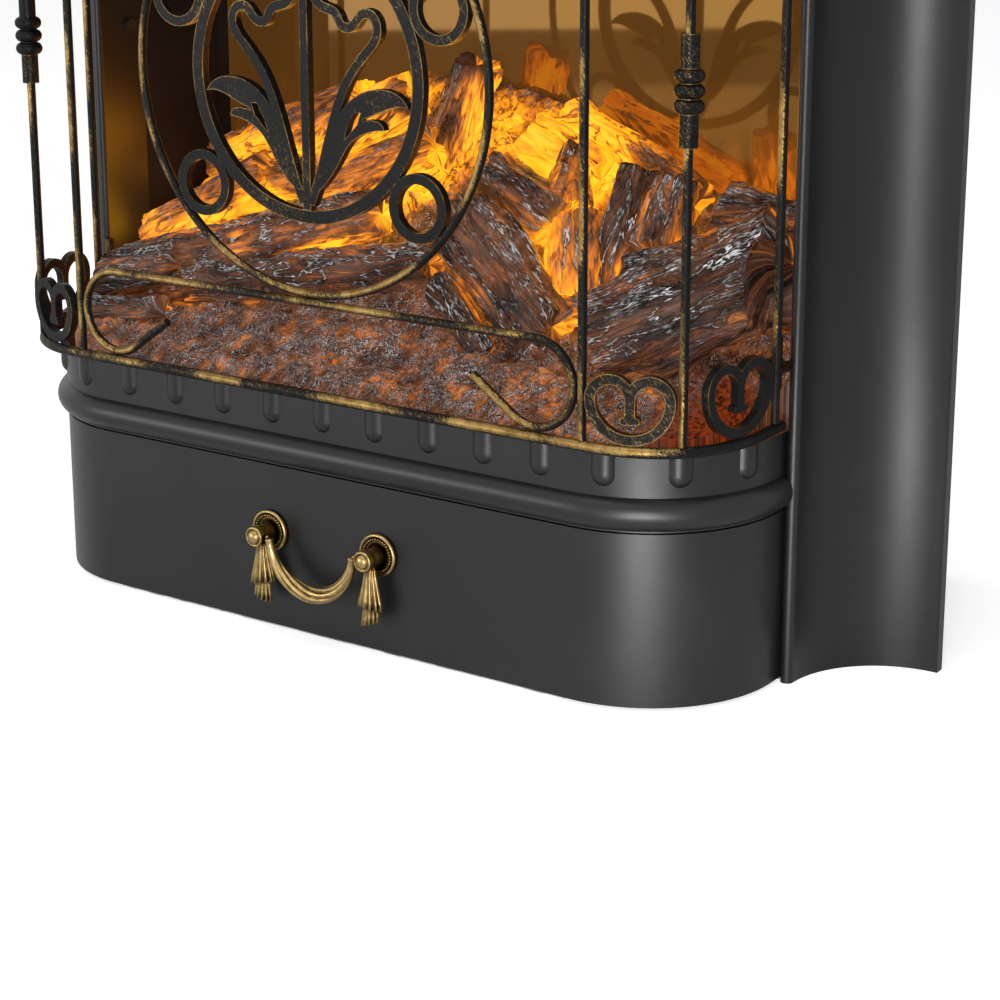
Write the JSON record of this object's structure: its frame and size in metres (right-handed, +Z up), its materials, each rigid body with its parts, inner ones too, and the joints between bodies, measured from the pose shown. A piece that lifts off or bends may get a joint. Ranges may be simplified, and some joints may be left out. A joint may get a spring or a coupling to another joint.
{
  "type": "electric fireplace insert",
  "caption": "Inset electric fire with a coved steel surround, bowed base drawer, lift-off bay grille with scrollwork, lit resin log bed, flame screen and fan heater.",
  "frame": {"origin": "underside of the base plate, in the middle of the width, in the plane where the surround meets the wall", "axes": "+Z up, -Y to the front, +X to the right seen from the front"},
  "size_m": [0.51, 0.2672, 0.6],
  "materials": {
    "charcoal_coating": "satin charcoal powder coat",
    "black_sheet": "matt black heat-proof paint",
    "patinated_grille": "black paint with gold brushed over its high edges",
    "antique_brass": "antique brass with dark recesses",
    "galvanised_sheet": "bare galvanised sheet",
    "zinc_screws": "zinc-plated steel",
    "log_resin": "translucent amber resin painted with char and ash",
    "amber_screen": "half-mirrored amber acrylic",
    "bright_vanes": "bright aluminium",
    "blower_plastic": "dark moulded plastic",
    "heater_fins": "bare aluminium fins",
    "motor_steel": "plated steel can",
    "circuit_board": "green circuit board",
    "black_plastic": "black moulded plastic"
  },
  "bodies": {
    "case": {"base_fascia": "charcoal_coating", "base_plate": "galvanised_sheet", "blower_housing": "galvanised_sheet", "blower_motor": "motor_steel", "cable_gland": "black_plastic", "control_board": "circuit_board", "control_panel": "galvanised_sheet", "drawer_runners": "galvanised_sheet", "ember_lamp_board": "circuit_board", "flame_baffle": "galvanised_sheet", "flame_lamp_board": "circuit_board", "flame_screen": "amber_screen", "flicker_motor": "motor_steel", "hanger_tabs": "black_sheet", "hearth_plate": "galvanised_sheet", "hearth_rails": "galvanised_sheet", "heater_shelf": "black_sheet", "heating_element": "heater_fins", "hood": "charcoal_coating", "left_side_panel": "black_sheet", "left_surround_wing": "charcoal_coating", "log_bed": "log_resin", "power_module": "black_plastic", "rear_cover": "galvanised_sheet", "rear_cover_screws": "zinc_screws", "right_side_panel": "black_sheet", "right_surround_wing": "charcoal_coating", "rocker_frame": "black_plastic", "screen_channels": "black_sheet", "shelf_rails": "galvanised_sheet", "spindle_brackets": "galvanised_sheet", "thermal_cutout": "black_plastic", "top_panel": "black_sheet", "top_surround_cove": "charcoal_coating", "wing_screws": "zinc_screws"},
    "drawer": {"drawer_front": "charcoal_coating", "drawer_tray": "galvanised_sheet", "handle_rosettes": "antique_brass", "handle_posts": "antique_brass", "handle_bolts": "zinc_screws"},
    "bail": {"handle_bail": "antique_brass"},
    "grille": {"grille_circle": "patinated_grille", "grille_collars": "patinated_grille", "grille_front_rods": "patinated_grille", "grille_hearts": "patinated_grille", "grille_inner_ring": "patinated_grille", "grille_leaf_work": "patinated_grille", "grille_lower_rail": "patinated_grille", "grille_rear_rods": "patinated_grille", "grille_scroll_bars": "patinated_grille", "grille_side_rods": "patinated_grille", "grille_small_rings": "patinated_grille", "grille_upper_rail": "patinated_grille"},
    "flicker": {"flicker_spindle": "bright_vanes"},
    "blower": {"blower_wheel": "blower_plastic"},
    "rocker": {"rocker": "black_plastic"},
    "flame_button": {"flame_button": "black_plastic"},
    "heat_button": {"heat_button": "black_plastic"},
    "timer_button": {"timer_button": "black_plastic"}
  },
  "joints": [
    {"name": "drawer_slide", "type": "slide", "parent": "case", "child": "drawer", "axis": [0, -1, 0], "range_m": [0, 0.1]},
    {"name": "bail_swing", "type": "hinge", "parent": "drawer", "child": "bail", "pos_m": [0, -0.1385, 0.0485], "axis": [-1, 0, 0], "range_deg": [0, 80]},
    {"name": "grille_lift", "type": "slide", "parent": "case", "child": "grille", "axis": [0, 0, 1], "range_m": [0, 0.02]},
    {"name": "flicker_spin", "type": "hinge", "parent": "case", "child": "flicker", "pos_m": [0, 0.089, 0.1285], "axis": [1, 0, 0], "continuous": true},
    {"name": "blower_spin", "type": "hinge", "parent": "case", "child": "blower", "pos_m": [0, 0.0798, 0.4762], "axis": [1, 0, 0], "continuous": true},
    {"name": "rocker_tip", "type": "hinge", "parent": "case", "child": "rocker", "pos_m": [-0.0375, -0.087, 0.075], "axis": [1, 0, 0], "range_deg": [0, 16]},
    {"name": "flame_button_press", "type": "slide", "parent": "case", "child": "flame_button", "axis": [0, 1, 0], "range_m": [0, 0.0015], "stiffness_N_per_m": 400, "springref_m": -0.0005},
    {"name": "heat_button_press", "type": "slide", "parent": "case", "child": "heat_button", "axis": [0, 1, 0], "range_m": [0, 0.0015], "stiffness_N_per_m": 400, "springref_m": -0.0005},
    {"name": "timer_button_press", "type": "slide", "parent": "case", "child": "timer_button", "axis": [0, 1, 0], "range_m": [0, 0.0015], "stiffness_N_per_m": 400, "springref_m": -0.0005}
  ]
}
